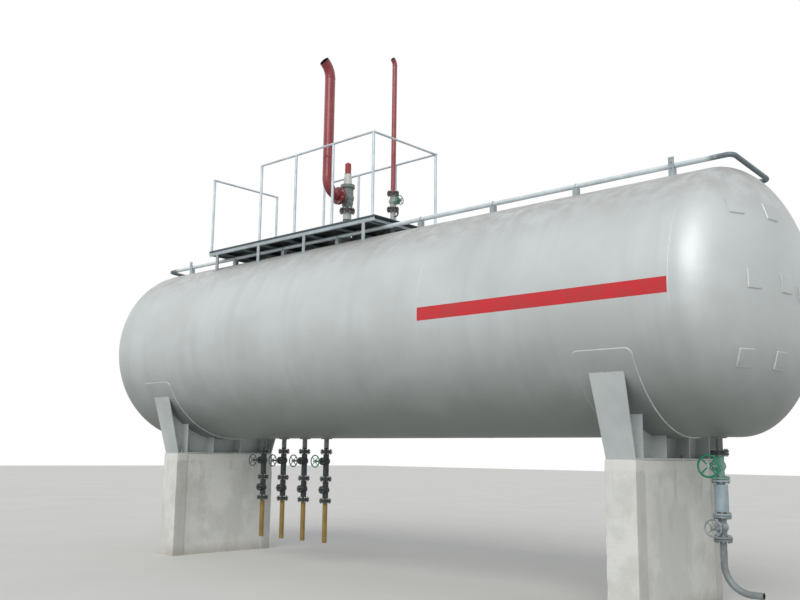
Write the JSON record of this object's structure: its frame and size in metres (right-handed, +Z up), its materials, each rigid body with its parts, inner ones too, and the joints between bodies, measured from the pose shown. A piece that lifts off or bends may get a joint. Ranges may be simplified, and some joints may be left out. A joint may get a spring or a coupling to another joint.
{
  "type": "horizontal pressure tank",
  "caption": "Horizontal steel pressure tank with dished heads on saddles and concrete piers, with a railed top platform, vents, bottom risers and a drain.",
  "frame": {"origin": "on the ground under the middle of the vessel, half way between the two piers", "axes": "+X along the vessel towards the head with the pads and the drain, +Y away from the face with the stripe, +Z up"},
  "size_m": [11.849, 3.0396, 8.0057],
  "materials": {
    "vessel_paint": "silver-grey paint, satin, faintly streaked",
    "plate_paint": null,
    "saddle_paint": "light grey paint, matt",
    "concrete": "cast concrete, stained",
    "galvanised": "galvanised steel, dull",
    "valve_paint": "dark grey-green paint on castings",
    "white_paint": "off-white paint",
    "vent_paint": "oxide red paint, satin",
    "wheel_paint": "green paint, satin",
    "riser_paint": "ochre yellow paint, chalky",
    "pot_paint": "blue-grey paint"
  },
  "bodies": {
    "vessel": {"shell_course_near": "vessel_paint", "shell_course_mid": "vessel_paint", "shell_course_far": "vessel_paint", "head_near": "vessel_paint", "head_far": "vessel_paint", "head_pads": "vessel_paint", "nameplate": "plate_paint", "wrap_plates": "vessel_paint", "saddle_webs": "saddle_paint", "saddle_ends": "saddle_paint", "base_plates": "saddle_paint", "pier_near": "concrete", "pier_far": "concrete", "spray_front": "galvanised", "spray_back": "galvanised", "spray_ends": "galvanised", "spray_brackets": "galvanised", "platform_deck": "galvanised", "platform_frame": "galvanised", "platform_legs": "galvanised", "rail_front": "galvanised", "rail_back": "galvanised", "rail_ends": "galvanised", "top_nozzles": "vessel_paint", "relief_body": "valve_paint", "relief_bonnet": "white_paint", "relief_pipe": "vent_paint", "vent_valve": "valve_paint", "vent_pipe": "vent_paint", "bottom_nozzles": "valve_paint", "riser_valves": "valve_paint", "riser_lower_valves": "valve_paint", "riser_pipes": "riser_paint", "drain_valve": "valve_paint", "drain_pot": "pot_paint", "drain_lower_valve": "valve_paint", "drain_pipe": "pot_paint"},
    "vent_wheel": {"vent_wheel": "wheel_paint"},
    "riser_wheel_1": {"riser_wheel_1": "wheel_paint"},
    "riser_wheel_2": {"riser_wheel_2": "wheel_paint"},
    "riser_wheel_3": {"riser_wheel_3": "wheel_paint"},
    "riser_wheel_4": {"riser_wheel_4": "wheel_paint"},
    "drain_wheel": {"drain_wheel": "wheel_paint"},
    "drain_lower_wheel": {"drain_lower_wheel": "wheel_paint"}
  },
  "joints": [
    {"name": "vent_wheel_turn", "type": "hinge", "parent": "vessel", "child": "vent_wheel", "pos_m": [0.01, 0, 5.5425], "axis": [1, 0, 0], "continuous": true},
    {"name": "riser_wheel_1_turn", "type": "hinge", "parent": "vessel", "child": "riser_wheel_1", "pos_m": [-1.5, -0.235, 1.575], "axis": [0, -1, 0], "continuous": true},
    {"name": "riser_wheel_2_turn", "type": "hinge", "parent": "vessel", "child": "riser_wheel_2", "pos_m": [-2.01, -0.235, 1.575], "axis": [0, -1, 0], "continuous": true},
    {"name": "riser_wheel_3_turn", "type": "hinge", "parent": "vessel", "child": "riser_wheel_3", "pos_m": [-2.52, -0.235, 1.575], "axis": [0, -1, 0], "continuous": true},
    {"name": "riser_wheel_4_turn", "type": "hinge", "parent": "vessel", "child": "riser_wheel_4", "pos_m": [-3.03, -0.235, 1.575], "axis": [0, -1, 0], "continuous": true},
    {"name": "drain_wheel_turn", "type": "hinge", "parent": "vessel", "child": "drain_wheel", "pos_m": [4.9, -0.304, 1.6125], "axis": [0, -1, 0], "continuous": true},
    {"name": "drain_lower_wheel_turn", "type": "hinge", "parent": "vessel", "child": "drain_lower_wheel", "pos_m": [4.9, -0.25, 0.95], "axis": [0, -1, 0], "continuous": true}
  ]
}
